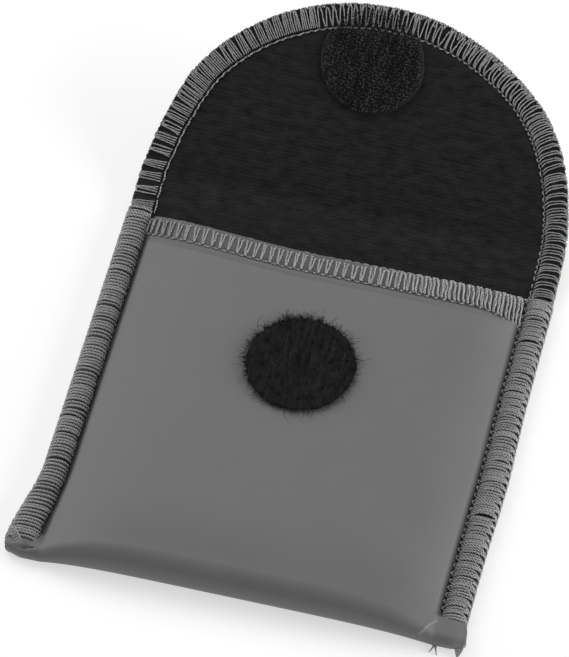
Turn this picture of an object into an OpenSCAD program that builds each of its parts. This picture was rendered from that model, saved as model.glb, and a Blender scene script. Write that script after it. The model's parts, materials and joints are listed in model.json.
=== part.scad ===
// Soft pouch for hearing aids: one folded strip of lined leatherette, overlocked all round its edges,
// with a round flap that closes on a hook-and-loop coin. It lies on its back with the flap half open.
// +Z is up, +Y runs from the bottom fold to the flap, and the origin is under the middle of its box.

/* [Pouch] */
// Width over the two side seams
pouch_w = 65; // [50:0.5:90]
// Height of the pocket, from the bottom fold to the line where the flap folds
pocket_h = 61; // [50:0.5:90]
// Free height inside the pocket at its middle
pocket_gap = 4.8; // [4.5:0.1:7]
// How far the middle of the mouth sits below its ends
mouth_dip = 2.8; // [0:0.1:5]
// How squarely the front panel drops to the side seams
crown_power = 6; // [3:0.5:8]
// How far the side seams stop above the bottom fold
seam_start = 3.6; // [2:0.1:6]
// How far the untrimmed bottom corners stand out past the trimmed edge of the cloth
ear_w = 1.3; // [0:0.1:2.5]

/* [Flap] */
// Reach of the rounded flap past its upper fold
flap_reach = 30.75; // [28:0.25:45]
// Roundness of the flap's outline: 2 is an ellipse
flap_power = 2.05; // [2:0.05:2.6]
// Angle by which each of the two folds is raised as the pouch lies open
fold_rest = 17.6; // [0:0.1:40]

/* [Cloth] */
// Thickness of the leatherette skin
skin_t = 0.4; // [0.3:0.05:0.8]
// Thickness of the foam interlining
foam_t = 0.5; // [0.3:0.05:1]
// Foam left where a seam squeezes it
foam_squeezed = 0.1; // [0.05:0.05:0.25]
// Thickness of the knit lining
lining_t = 0.3; // [0.2:0.05:0.6]
// Slit left between the two linings inside the side seams
seam_slit = 0.3; // [0.2:0.05:0.6]

/* [Seams] */
// Width of the overlock seam
seam_w = 4.2; // [3:0.1:5]
// Thickness of the looper threads over the cloth
thread_t = 0.4; // [0.3:0.05:0.6]
// Width of the row of needle stitches
needle_w = 0.4; // [0.3:0.05:0.6]
// Height of the row of needle stitches over the looper threads
needle_h = 0.35; // [0.2:0.05:0.5]
// Radius of the thread chain's loose ends
tail_r = 0.3; // [0.2:0.05:0.45]
// Length of a loose end below the bottom fold
tail_l = 2; // [1:0.1:3]

/* [Hook-and-loop coins] */
// Radius of the two coins
coin_r = 7.95; // [6:0.05:10]
// How far the loop coin's middle lies below the fold line
coin_drop = 23.5; // [21:0.1:32]
// Thickness of the adhesive under each coin
adhesive_t = 0.15; // [0.1:0.05:0.3]
// Thickness of the woven backing of each coin
backing_t = 0.2; // [0.15:0.05:0.4]
// Height of the loop pile
pile_h = 0.55; // [0.3:0.05:1.2]
// Height of the hooks
hook_h = 0.35; // [0.2:0.05:0.8]

/* [Clearances] */
// Gap between the pieces on the two sides of a fold line
fold_gap = 0.3; // [0.2:0.05:0.6]
// Room between seam ends as a fold closes
fold_clear = 0.35; // [0.2:0.05:0.8]
// Room between the two coins as the flap lies closed
coin_clear = 0.15; // [0.1:0.05:0.5]
// Room between the hook coin and the flap's seam
coin_seam_clear = 0.1; // [0.05:0.05:0.5]
// Room between a loose thread end and the cloth under it
tail_clear = 0.05; // [0.05:0.05:0.3]

/* [Hidden] */
$fn = 64;

skin_colour = [0.17, 0.17, 0.17];
foam_colour = [0.30, 0.30, 0.31];
lining_colour = [0.02, 0.02, 0.02];
thread_colour = [0.16, 0.16, 0.165];
coin_colour = [0.015, 0.015, 0.015];
adhesive_colour = [0.75, 0.74, 0.70];

// Cloth thicknesses, loose and squeezed in a seam
cloth_t = skin_t + foam_t + lining_t;
squeezed_t = skin_t + foam_squeezed + lining_t;
squeeze = foam_t - foam_squeezed;

// Lines across the width: the cut edge of the cloth, the seam's inner edge and the end of its squeeze
half_w = pouch_w / 2;
edge_x = half_w - thread_t;
seam_x = half_w - seam_w;
squeeze_run = 1.5 * squeeze;
crown_x = seam_x - squeeze_run;

// Seam ends stop short of a fold by what stands up beside it as it closes
seam_end = thread_t + needle_h + fold_clear;
side_roll_r = seam_slit / 2 + squeezed_t;
side_mid_z = cloth_t + seam_slit / 2;
side_end_y = pocket_h - seam_end;

// Closed, the flap's lining lies over both coins, and that sets the band between the folds
pouch_top = 2 * cloth_t + pocket_gap;
loop_coin_t = adhesive_t + backing_t + pile_h;
hook_coin_t = adhesive_t + backing_t + hook_h;
neck_l = pouch_top + loop_coin_t + hook_coin_t + coin_clear - cloth_t;
loop_coin_y = pocket_h - coin_drop;
hook_coin_v = coin_drop;

// Section of the upper looper threads: distance in from the seam's outer edge, and height over the cloth.
// drop is how far the threads reach down the cut edge, to the middle of the cloth.
function looper_section(drop) = [
    [seam_w, 0],
    [seam_w, 0.7 * thread_t],
    [seam_w - thread_t, thread_t],
    [2.6 * thread_t, thread_t],
    [1.1 * thread_t, 0.5 * thread_t],
    [0.25 * thread_t, -0.5 * drop],
    [0, -drop],
    [thread_t, -drop],
    [thread_t, 0],
];

// Section of the needle stitches, which lie on the looper threads near the seam's inner edge
function needle_section() = let (e = seam_w - thread_t - needle_w) [
    [e + needle_w / 2, thread_t],
    [e + needle_w / 2, thread_t + 0.6 * needle_h],
    [e + needle_w / 5, thread_t + needle_h],
    [e - needle_w / 5, thread_t + needle_h],
    [e - needle_w / 2, thread_t + 0.6 * needle_h],
    [e - needle_w / 2, thread_t],
];

// Loose thread ends: the angle that they follow the bottom roll before they hang free, and their path's radius
tail_wrap = 50;
tail_path_r = side_roll_r + tail_r + tail_clear;

// Moves the model so that the origin lies under the middle of its box
flap_turn = 2 * fold_rest;
rim_points = concat(
    looper_section(squeezed_t / 2),
    [for (p = looper_section(squeezed_t / 2)) [p[0], -squeezed_t - p[1]]]
);
tip_y = pocket_h + neck_l * cos(fold_rest) + flap_reach * cos(flap_turn)
    + max([for (p = rim_points) -p[0] * cos(flap_turn) - p[1] * sin(flap_turn)]);
tail_tip_y = side_roll_r - tail_path_r * sin(tail_wrap) - tail_l * cos(tail_wrap) - tail_r * sin(tail_wrap);
middle_y = (tip_y + tail_tip_y) / 2;

// Pocket shape across the width: 1 on the flat middle of the front, falling to 0 at the side seams
function crown(x) = 1 - pow(min(abs(x) / seam_x, 1), crown_power);
function gap_at(x) = seam_slit + (pocket_gap - seam_slit) * crown(x);
function mouth_y(x) = side_end_y - mouth_dip * crown(x);
function side_squeeze(x) = min(max((abs(x) - crown_x) / squeeze_run, 0), 1);

// Stations across the width, closer together towards the seams
crown_steps = 9;
crown_stations = [for (i = [-crown_steps : crown_steps]) crown_x * sin(90 * i / crown_steps)];
stations = concat([-edge_x, -seam_x], crown_stations, [seam_x, edge_x]);

// One cross-section of a cloth layer's surface, along back, bottom roll and front, with its corners flared.
// level 0 is the lining's inner face, 1 its outer face, 2 the foam's outer face, 3 the skin's outer face.
roll_steps = 10;
function level_r(x, level, squeezed) = gap_at(x) / 2
    + (level > 0 ? lining_t : 0)
    + (level > 1 ? foam_t - squeeze * squeezed : 0)
    + (level > 2 ? skin_t : 0);
function flared(x, y) = abs(x) < edge_x ? x : x + sign(x) * ear_w * max(1 - y / seam_start, 0);
function strip_line(x, level) = let (
    s = side_squeeze(x),
    mid_z = cloth_t + gap_at(x) / 2,
    mid_y = level_r(x, 3, s),
    r = level_r(x, level, s),
    r_mouth = level_r(x, level, 1),
    ear_y = mid_y + seam_start - side_roll_r,
    y = mouth_y(x),
    line = concat(
        [[pocket_h - fold_gap / 2, mid_z - r], [ear_y, mid_z - r]],
        [for (i = [0 : roll_steps]) let (a = 180 * i / roll_steps) [mid_y - r * sin(a), mid_z - r * cos(a)]],
        [[ear_y, mid_z + r], [y - seam_w - squeeze_run, mid_z + r]],
        [[y - seam_w, mid_z + r_mouth], [y - thread_t, mid_z + r_mouth]]
    )
) [for (p = line) [flared(x, p[0]), p[0], p[1]]];

// Closed solid between two like grids of points, given as lists of rows
module grid_solid(low, high) {
    rows = len(low);
    cols = len(low[0]);
    count = rows * cols;
    points = [for (grid = [low, high]) for (row = grid) each row];
    function at(i, j) = i * cols + j;
    function quad(a, b, c, d) = [[a, b, c], [a, c, d]];
    faces = [
        for (i = [0 : rows - 2]) for (j = [0 : cols - 2])
            let (a = at(i, j), b = at(i + 1, j), c = at(i + 1, j + 1), d = at(i, j + 1))
                each concat(
                    quad(a, b, c, d),
                    [for (t = quad(a, b, c, d)) [count + t[2], count + t[1], count + t[0]]]
                ),
        for (i = [0 : rows - 2])
            let (a = at(i, 0), b = at(i + 1, 0), c = at(i, cols - 1), d = at(i + 1, cols - 1))
                each concat(quad(a, count + a, count + b, b), quad(d, count + d, count + c, c)),
        for (j = [0 : cols - 2])
            let (a = at(0, j), b = at(0, j + 1), c = at(rows - 1, j), d = at(rows - 1, j + 1))
                each concat(quad(b, count + b, count + a, a), quad(c, count + c, count + d, d)),
    ];
    polyhedron(points, faces, convexity = 6);
}

// Closed solid swept through like rings of points
module ring_sweep(rings) {
    n = len(rings[0]);
    last = len(rings) - 1;
    faces = [
        [for (k = [n - 1 : -1 : 0]) k],
        [for (k = [0 : n - 1]) last * n + k],
        for (i = [0 : last - 1]) for (k = [0 : n - 1])
            let (a = i * n + k, b = i * n + (k + 1) % n)
                each [[a, b, b + n], [a, b + n, a + n]],
    ];
    polyhedron([for (ring = rings) each ring], faces, convexity = 8);
}

// Frames: the whole pouch, and the two folds with v running on from a fold and w up from the lining
module in_pouch() {
    translate([0, -middle_y, 0]) children();
}

module in_neck() {
    in_pouch() translate([0, pocket_h, cloth_t]) rotate([fold_rest, 0, 0]) children();
}

module in_flap() {
    in_neck() translate([0, neck_l, 0]) rotate([fold_rest, 0, 0]) children();
}

// Cloth of the pocket
module pouch_layer(level) {
    in_pouch() grid_solid(
        [for (x = stations) strip_line(x, level)],
        [for (x = stations) strip_line(x, level + 1)]
    );
}

module pouch_skin() {
    color(skin_colour) pouch_layer(2);
}

module pouch_foam() {
    color(foam_colour) pouch_layer(1);
}

module pouch_lining() {
    color(lining_colour) pouch_layer(0);
}

// Seam along the mouth: up is 1 for the thread on the skin and -1 for the one inside the pocket
function mouth_face_z(x, up) = cloth_t + gap_at(x) + (up > 0 ? squeezed_t : 0);
module mouth_thread(section, up) {
    in_pouch() ring_sweep([
        for (x = crown_stations)
            [for (p = section) [up * x, mouth_y(x) - p[0], mouth_face_z(x, up) + up * p[1]]]
    ]);
}

module mouth_upper_looper() {
    color(thread_colour) mouth_thread(looper_section(squeezed_t / 2), 1);
}

module mouth_lower_looper() {
    color(thread_colour) mouth_thread(looper_section(squeezed_t / 2), -1);
}

module mouth_needle_thread() {
    color(thread_colour) mouth_thread(needle_section(), 1);
}

// Straight seam thread along a side, from y0 to y1, on a cloth face at height z.
// side is -1 at the left and 1 at the right, up is 1 on top of the cloth and -1 beneath it.
module side_thread(section, side, up, y0, y1, z) {
    points = [for (p = section) [side * (half_w - p[0]), z + up * p[1]]];
    translate([0, y1, 0]) rotate([90, 0, 0]) linear_extrude(y1 - y0) polygon(points);
}

module pouch_side_thread(section, side, up) {
    in_pouch() side_thread(section, side, up, seam_start, side_end_y, side_mid_z + up * side_roll_r);
}

module left_side_upper_looper() {
    color(thread_colour) pouch_side_thread(looper_section(side_roll_r), -1, 1);
}

module left_side_lower_looper() {
    color(thread_colour) pouch_side_thread(looper_section(side_roll_r), -1, -1);
}

module left_side_needle_thread() {
    color(thread_colour) pouch_side_thread(needle_section(), -1, 1);
}

module right_side_upper_looper() {
    color(thread_colour) pouch_side_thread(looper_section(side_roll_r), 1, 1);
}

module right_side_lower_looper() {
    color(thread_colour) pouch_side_thread(looper_section(side_roll_r), 1, -1);
}

module right_side_needle_thread() {
    color(thread_colour) pouch_side_thread(needle_section(), 1, 1);
}

// Loose end of the thread chain, over the bottom roll and down in front of it
tail_sides = 6;
tail_bends = 5;
function tail_ring(x, y, z, turn, r) = [
    for (k = [0 : tail_sides - 1]) let (a = 360 * k / tail_sides, h = r * cos(a))
        [x + r * sin(a), y - h * sin(turn), z + h * cos(turn)]
];
module thread_tail(side) {
    x = side * (half_w - seam_w / 4);
    rings = concat(
        [tail_ring(x, seam_start, side_mid_z + tail_path_r, 0, tail_r)],
        [for (i = [0 : tail_bends]) let (a = tail_wrap * i / tail_bends)
            tail_ring(x, side_roll_r - tail_path_r * sin(a), side_mid_z + tail_path_r * cos(a), a, tail_r)],
        [tail_ring(x, side_roll_r - tail_path_r * sin(tail_wrap) - tail_l * cos(tail_wrap),
            side_mid_z + tail_path_r * cos(tail_wrap) - tail_l * sin(tail_wrap), tail_wrap, tail_r)]
    );
    in_pouch() ring_sweep(rings);
}

module left_thread_tail() {
    color(thread_colour) thread_tail(-1);
}

module right_thread_tail() {
    color(thread_colour) thread_tail(1);
}

// Loop coin, stuck on the front panel
module loop_coin_disc(z, t) {
    in_pouch() translate([0, loop_coin_y, pouch_top + z]) cylinder(r = coin_r, h = t);
}

module loop_coin_adhesive() {
    color(adhesive_colour) loop_coin_disc(0, adhesive_t);
}

module loop_coin_backing() {
    color(coin_colour) loop_coin_disc(adhesive_t, backing_t);
}

module loop_coin_pile() {
    rim = pile_h / 2;
    color(coin_colour) in_pouch() translate([0, loop_coin_y, pouch_top + adhesive_t + backing_t])
        rotate_extrude() polygon([[0, 0], [coin_r, 0], [coin_r, rim], [coin_r - rim, pile_h], [0, pile_h]]);
}

// Heights of the cloth layers under the lining's face: lining, foam over its whole width, foam in the
// loose middle, the skin where the seam lifts it, and the skin in the loose middle
lining_low = -lining_t;
foam_edge_low = lining_low - foam_squeezed;
foam_low = lining_low - foam_t;
skin_edge_low = -squeezed_t;
skin_low = -cloth_t;

// Band between the two folds
module neck_plate(half, low, high) {
    translate([-half, fold_gap / 2, low]) cube([2 * half, neck_l - fold_gap, high - low]);
}

module neck_side_strip(side, inner, low, high) {
    translate([side > 0 ? inner : -edge_x, fold_gap / 2, low])
        cube([edge_x - inner, neck_l - fold_gap, high - low]);
}

module neck_skin() {
    color(skin_colour) in_neck() {
        neck_plate(seam_x, skin_low, foam_low);
        for (side = [-1, 1]) neck_side_strip(side, crown_x, skin_edge_low, foam_edge_low);
    }
}

module neck_foam() {
    color(foam_colour) in_neck() {
        neck_plate(edge_x, foam_edge_low, lining_low);
        neck_plate(crown_x, foam_low, foam_edge_low);
    }
}

module neck_lining() {
    color(lining_colour) in_neck() neck_plate(edge_x, lining_low, 0);
}

module neck_thread(section, side, up) {
    in_neck() side_thread(section, side, up, seam_end, neck_l - seam_end, up > 0 ? 0 : -squeezed_t);
}

module neck_left_upper_looper() {
    color(thread_colour) neck_thread(looper_section(squeezed_t / 2), -1, 1);
}

module neck_left_lower_looper() {
    color(thread_colour) neck_thread(looper_section(squeezed_t / 2), -1, -1);
}

module neck_left_needle_thread() {
    color(thread_colour) neck_thread(needle_section(), -1, 1);
}

module neck_right_upper_looper() {
    color(thread_colour) neck_thread(looper_section(squeezed_t / 2), 1, 1);
}

module neck_right_lower_looper() {
    color(thread_colour) neck_thread(looper_section(squeezed_t / 2), 1, -1);
}

module neck_right_needle_thread() {
    color(thread_colour) neck_thread(needle_section(), 1, 1);
}

// Outline of the flap, a superellipse whose ends stand on the fold, and the same line moved inwards
flap_start = fold_gap / 2;
flap_l = flap_reach - flap_start;
rim_steps = 44;
rim_first = asin(pow((seam_end - flap_start) / flap_l, flap_power / 2));
rim_angles = [for (i = [0 : rim_steps]) rim_first + (180 - 2 * rim_first) * i / rim_steps];
function sign_pow(v, p) = sign(v) * pow(abs(v), p);
function flap_point(a, inset) = let (
    c = sign_pow(cos(a), 2 / flap_power),
    s = sign_pow(sin(a), 2 / flap_power),
    nx = sign_pow(c, flap_power - 1) / half_w,
    nv = sign_pow(s, flap_power - 1) / flap_l,
    n = sqrt(nx * nx + nv * nv)
) [half_w * c - inset * nx / n, flap_start + flap_l * s - inset * nv / n];

module flap_plate(inset, low, high) {
    translate([0, 0, low]) linear_extrude(high - low)
        polygon([for (a = concat([0], rim_angles, [180])) flap_point(a, inset)]);
}

module flap_skin() {
    color(skin_colour) in_flap() {
        flap_plate(seam_w, skin_low, foam_low);
        difference() {
            flap_plate(thread_t, skin_edge_low, foam_edge_low);
            flap_plate(seam_w + squeeze_run, foam_low, lining_low);
        }
    }
}

module flap_foam() {
    color(foam_colour) in_flap() {
        flap_plate(thread_t, foam_edge_low, lining_low);
        flap_plate(seam_w + squeeze_run, foam_low, foam_edge_low);
    }
}

module flap_lining() {
    color(lining_colour) in_flap() flap_plate(thread_t, lining_low, 0);
}

// Seam round the flap's rim: up is 1 for the thread on the lining and -1 for the one on the skin
module rim_thread(section, up) {
    face = up > 0 ? 0 : -squeezed_t;
    rings = [for (a = rim_angles) [
        for (p = section) let (q = flap_point(up > 0 ? 180 - a : a, p[0])) [q[0], q[1], face + up * p[1]]
    ]];
    in_flap() ring_sweep(rings);
}

module rim_upper_looper() {
    color(thread_colour) rim_thread(looper_section(squeezed_t / 2), 1);
}

module rim_lower_looper() {
    color(thread_colour) rim_thread(looper_section(squeezed_t / 2), -1);
}

module rim_needle_thread() {
    color(thread_colour) rim_thread(needle_section(), 1);
}

// Hook coin, stuck on the flap's lining, with its far side cut off along the seam that holds it
module hook_coin_disc(w, t) {
    in_flap() intersection() {
        translate([0, hook_coin_v, w]) cylinder(r = coin_r, h = t);
        flap_plate(seam_w + coin_seam_clear, w, w + t);
    }
}

module hook_coin_adhesive() {
    color(adhesive_colour) hook_coin_disc(0, adhesive_t);
}

module hook_coin_backing() {
    color(coin_colour) hook_coin_disc(adhesive_t, backing_t);
}

module hook_coin_hooks() {
    color(coin_colour) hook_coin_disc(adhesive_t + backing_t, hook_h);
}

pouch_skin();
pouch_foam();
pouch_lining();
mouth_upper_looper();
mouth_lower_looper();
mouth_needle_thread();
left_side_upper_looper();
left_side_lower_looper();
left_side_needle_thread();
right_side_upper_looper();
right_side_lower_looper();
right_side_needle_thread();
left_thread_tail();
right_thread_tail();
loop_coin_adhesive();
loop_coin_backing();
loop_coin_pile();
neck_skin();
neck_foam();
neck_lining();
neck_left_upper_looper();
neck_left_lower_looper();
neck_left_needle_thread();
neck_right_upper_looper();
neck_right_lower_looper();
neck_right_needle_thread();
flap_skin();
flap_foam();
flap_lining();
rim_upper_looper();
rim_lower_looper();
rim_needle_thread();
hook_coin_adhesive();
hook_coin_backing();
hook_coin_hooks();
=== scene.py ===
# Hearing aid case: a soft pouch of one folded strip of lined leatherette with overlocked edges, a round flap
# and two hook-and-loop coins. Lengths are in millimetres until a mesh is made.
import json
import math

import bpy
import numpy as np
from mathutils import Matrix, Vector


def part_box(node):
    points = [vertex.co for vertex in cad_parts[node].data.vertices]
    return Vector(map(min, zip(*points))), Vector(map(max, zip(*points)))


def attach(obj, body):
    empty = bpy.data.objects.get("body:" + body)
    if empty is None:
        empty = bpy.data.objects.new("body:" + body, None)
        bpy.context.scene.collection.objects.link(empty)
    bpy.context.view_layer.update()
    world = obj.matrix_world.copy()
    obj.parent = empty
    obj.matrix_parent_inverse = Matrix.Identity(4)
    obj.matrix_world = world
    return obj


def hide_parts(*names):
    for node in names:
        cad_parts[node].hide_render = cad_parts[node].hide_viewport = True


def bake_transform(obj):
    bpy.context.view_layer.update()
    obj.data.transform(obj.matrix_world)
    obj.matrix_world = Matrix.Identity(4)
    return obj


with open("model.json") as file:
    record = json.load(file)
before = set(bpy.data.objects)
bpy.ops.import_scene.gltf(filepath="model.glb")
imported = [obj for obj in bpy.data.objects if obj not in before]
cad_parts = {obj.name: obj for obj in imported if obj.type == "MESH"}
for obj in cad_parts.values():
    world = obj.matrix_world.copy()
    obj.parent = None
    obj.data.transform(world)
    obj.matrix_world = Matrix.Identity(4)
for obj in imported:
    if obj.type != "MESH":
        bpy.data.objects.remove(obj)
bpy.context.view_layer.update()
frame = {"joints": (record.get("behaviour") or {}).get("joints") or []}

# Lining
# A strip of thin black knit with fine ribs across it. It lines the pocket, the neck and the flap,
# bonded to the foam behind it, and shows inside the flap and down in the mouth.
mm = 0.001
joints = {joint["name"]: joint for joint in frame["joints"]}
fold_y, fold_z = [place / mm for place in joints["neck_fold"]["pos_m"][1:]]
flap_y, flap_z = [place / mm for place in joints["flap_fold"]["pos_m"][1:]]
rest_turn = math.radians(-joints["neck_fold"]["range_deg"][0])
neck_length = math.hypot(flap_y - fold_y, flap_z - fold_z)
middle_neck = neck_length / 2
fold_span = 5.0


def corner(node, end):
    """One corner of a CAD node's box: end 0 is its lowest corner and 1 its highest."""
    return [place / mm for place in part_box(node)[end]]


bottom_y = corner("pouch_skin", 0)[1]
panel_top = corner("pouch_skin", 1)[2]
half_width = corner("right_side_upper_looper", 1)[0]
seam_inner = corner("right_side_upper_looper", 0)[0]
seam_width = half_width - seam_inner
seam_start = corner("right_side_upper_looper", 0)[1] - bottom_y
cloth_edge = corner("neck_lining", 1)[0]
edge_cover = half_width - cloth_edge
pocket_height = fold_y - bottom_y
side_top = corner("right_side_upper_looper", 1)[1] - bottom_y

lining_thickness = 0.3
foam_thickness = 0.5
skin_thickness = 0.4
cloth_thickness = lining_thickness + foam_thickness + skin_thickness
foam_loss = 0.4


def smooth(t):
    """Eases from 0 to 1 as t goes from 0 to 1."""
    t = np.clip(t, 0, 1)
    return t * t * (3 - 2 * t)


even_half = 20.0
left_splay = 2.1
splay_top = 16.0
splay_run = 14.0
corner_loss = 0.45
corner_height = 1.7
right_bulge = 0.4
bulge_height = 28.0
bulge_run = 9.0


def splay(x, y):
    """Places across the pocket, moved out where its sewn sides were pulled: y is up from the bottom fold."""
    outer = np.clip((np.abs(x) - even_half) / (half_width - even_half), 0, 1) ** 2
    rounded = 1 - corner_loss * smooth(1 - y / corner_height)
    left = left_splay * smooth((splay_top - y) / splay_run) * rounded
    right = right_bulge * np.exp(-((y - bulge_height) / bulge_run) ** 2)
    return x + np.where(x < 0, -left, right) * outer


side_span = 24.0


def to_right(x):
    """0 on the left of the pouch and 1 on its right, eased across the middle."""
    return smooth(x / side_span + 0.5)


left_sway = [-4, 0, 4, 10, 13, 16, 22, 31], [0, 0.1, 0.7, 0.95, 0.75, 0.4, 0.45, 0.45]
right_sway = [0, 7, 14, 20, 24, 31], [0, -0.2, 0.1, 0.3, -0.2, -0.4]


def lie(x, v, w):
    """Points of the strip as it lies: v runs on from the neck fold, and w up from the lining's face."""
    past = v - neck_length
    left = np.interp(past, *left_sway)
    right = np.interp(past, *right_sway)
    x = splay(x, v + pocket_height) + left + (right - left) * to_right(x)
    turn = rest_turn * smooth(past / fold_span + 0.5)
    along = neck_length + past * np.cos(turn) - w * np.sin(turn)
    up = past * np.sin(turn) + w * np.cos(turn)
    turn = rest_turn * smooth(v / fold_span + 0.5)
    y = fold_y + along * np.cos(turn) - up * np.sin(turn)
    z = fold_z + along * np.sin(turn) + up * np.cos(turn)
    return np.stack(np.broadcast_arrays(x, y, z), axis=-1)


seam_slit = 0.3
pocket_gap = panel_top - 2 * cloth_thickness
crown_power = 6
round_loss = 1.6
round_run = 14.0
bottom_sag = 0.2
sag_run = 10.0


def crown(x, power=crown_power):
    """1 on the flat middle of the front panel, falling to 0 at the side seams."""
    return 1 - np.minimum(np.abs(x) / seam_inner, 1) ** power


def gap_at(x, below=0, above=sag_run):
    """The pocket's inner height. Away from the mouth the panel is rounder, and near the bottom fold it sags:
    below is how far down from the mouth, and above how far up from the bottom roll."""
    power = crown_power - round_loss * smooth(below / round_run) * to_right(x)
    sag = 1 - bottom_sag * np.clip(1 - above / sag_run, 0, 1) ** 2
    return seam_slit + (pocket_gap - seam_slit) * crown(x, power) * sag


mouth_dip = 2.8
mouth_pull = 0.75
left_pull = 1.3
pull_start = 2.0
pull_run = 26.0


def mouth_rise(x):
    """How far the mouth's edge was pulled up above an even dip: more towards its left end."""
    return mouth_pull + left_pull * smooth((-x - pull_start) / pull_run)


def mouth_line(x):
    """The mouth's edge, up from the bottom fold."""
    return side_top - mouth_dip * crown(x) + mouth_rise(x)


def depth(level, pinch):
    """Depth under the lining's face: 1 behind the lining, 2 behind the foam, 3 at the skin's outer face."""
    layers = [lining_thickness, foam_thickness - foam_loss * pinch, skin_thickness]
    return sum(layers[:level]) + 0 * pinch


needle_inset = 3.75
groove_depth = {"side": 0.55, "mouth": 0.22, "flap": 0.14}
groove_width = {"side": 0.55, "mouth": 0.5, "flap": 0.5}


def needle_groove(inside, seam):
    """How far the needle thread draws the cloth down, at places inside the seam's outer edge."""
    return groove_depth[seam] * np.exp(-((inside - needle_inset) / groove_width[seam]) ** 2)


back_top = 1.35
left_crease = [(-31.7, 0.75), (-30.2, 1.25), 0.2]
left_furrow = 0.6
right_crease = [(28.3, 3.2), (26.3, 0.1), 0.3]
right_ridge = 0.1


def crease(points, start, end, width):
    """1 along a line across the lower front, and 0 away from it: x and y up from the bottom fold."""
    start, end = np.array(start), np.array(end)
    flat = points[..., :2] - np.array([0, bottom_y])
    share = np.clip((flat - start) @ (end - start) / np.sum((end - start) ** 2), 0, 1)
    away = np.linalg.norm(flat - start - share[..., None] * (end - start), axis=-1)
    return np.exp(-(away / width) ** 2) * (points[..., 2] > back_top)


slope_start = 22.0


def across():
    """Stations across the strip, close together at the seams and at the foot of the panel's slopes."""
    seam = np.linspace(seam_inner, cloth_edge, 9)
    slope = np.linspace(slope_start, seam_inner, 31)[:-1]
    middle = np.linspace(0, slope_start, 17)[:-1]
    half = np.concatenate([middle, slope, seam])
    return np.concatenate([-half[:0:-1], half])


pinch_run = 0.6
left_seam_start = 2.0
sewn_gap = 0.1
sewn_run = 1.2
edge_loss = 0.4
edge_run = 1.5
left_ear = 0.3
right_ear = 0.8
ear_top = 5.2
ear_full = 1.6
ear_loss = 0.35
ear_round = 1.4
mouth_steps = np.linspace(0, 6, 15)
front_steps = np.linspace(0, 1, 42)[1:-1]
roll_steps = np.linspace(0, math.pi, 25)
back_steps = np.linspace(0, 1, 26)[1:-1]
fold_steps = np.linspace(-4, middle_neck, 17)


def lower_strip(level):
    """Rows of points from the mouth down the front, round the bottom roll and up the back to mid-neck."""
    x = across()
    gap = gap_at(x, pocket_height, 0)
    side_pinch = smooth((np.abs(x) - seam_inner + pinch_run) / pinch_run)
    sewn_from = np.where(x < 0, left_seam_start, seam_start) + sewn_gap
    round_off = 1 - edge_loss * smooth((np.abs(x) - cloth_edge) / edge_run + 1)
    groove = needle_groove(half_width - np.abs(x), "side")
    roll_y = gap / 2 + depth(3, 0)
    roll_z = cloth_thickness + gap / 2
    radius = gap / 2 + depth(level, 0) * round_off
    mouth_end = mouth_line(x) - edge_cover
    rest = mouth_end - mouth_steps[-1] - roll_y
    front = [mouth_end - step for step in mouth_steps]
    front += [mouth_end - mouth_steps[-1] - rest * step for step in front_steps]
    rows = []
    for y in front:
        mouth_pinch = smooth((y - mouth_end + seam_width + pinch_run) / pinch_run)
        mouth_groove = needle_groove(mouth_end + edge_cover - y, "mouth")
        sewn = smooth((y - sewn_from) / sewn_run)
        pinch = np.maximum(side_pinch * sewn, mouth_pinch)
        dip = np.maximum(groove * sewn, mouth_groove)
        inside = gap_at(x, mouth_end - y, y - roll_y)
        rows.append([x, bottom_y + y, cloth_thickness + inside + depth(level, pinch) * round_off - dip])
    for turn in roll_steps:
        rows.append([x, bottom_y + roll_y - radius * math.sin(turn), roll_z + radius * math.cos(turn)])
    grid = [np.stack(np.broadcast_arrays(*row), axis=-1) for row in rows]
    for row in grid:
        row[:, 0] = splay(row[:, 0], row[:, 1] - bottom_y)
    back_start = roll_y - pocket_height
    for v in [back_start + (fold_steps[0] - back_start) * step for step in back_steps]:
        sewn = smooth((v + pocket_height - sewn_from) / sewn_run)
        grid.append(lie(x, v, -depth(level, side_pinch * sewn) * round_off))
    for v in fold_steps:
        grid.append(lie(x, np.full_like(x, v), -depth(level, side_pinch) * round_off))
    grid = np.array(grid)
    height = grid[..., 1] - bottom_y
    reach = np.where(x < 0, -left_ear, right_ear)
    outward = np.clip((np.abs(x) - seam_inner) / (cloth_edge - seam_inner), 0, 1)
    flare = smooth((ear_top - height) / (ear_top - ear_full))
    flare = flare * (1 - ear_loss * smooth(1 - height / ear_round))
    grid[..., 0] += reach * outward * flare
    grid[..., 2] += right_ridge * crease(grid, *right_crease) - left_furrow * crease(grid, *left_crease)
    return grid


def grid_faces(rows, columns):
    """Quads between the points of a grid, row by row."""
    index = np.arange(rows * columns).reshape(rows, columns)
    quads = np.stack([index[:-1, 1:], index[1:, 1:], index[1:, :-1], index[:-1, :-1]], axis=-1)
    return quads.reshape(-1, 4).tolist()


flap_reach = 31.1
flap_power = 2.05
flap_start = 0.15


def signed_power(value, power):
    return np.sign(value) * np.abs(value) ** power


def flap_outline(turn, inset):
    """A point on the flap's outline moved in by inset: its place across, and on from the upper fold."""
    reach = flap_reach - flap_start
    c = signed_power(np.cos(turn), 2 / flap_power)
    s = signed_power(np.sin(turn), 2 / flap_power)
    nx = signed_power(c, flap_power - 1) / half_width
    nv = signed_power(s, flap_power - 1) / reach
    n = np.hypot(nx, nv)
    return half_width * c - inset * nx / n, flap_start + reach * s - inset * nv / n


flap_rays = 96
rim_steps = np.array([0, 0.8, 1.6, 2.4, 3.2, 3.8, 4.0, 4.2, 4.4, 5.0])
flap_rings = np.concatenate([np.linspace(0, 1 - 5.8 / cloth_edge, 22), 1 - rim_steps[::-1] / cloth_edge])
neck_steps = np.linspace(middle_neck, neck_length + flap_start, 13)


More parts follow.
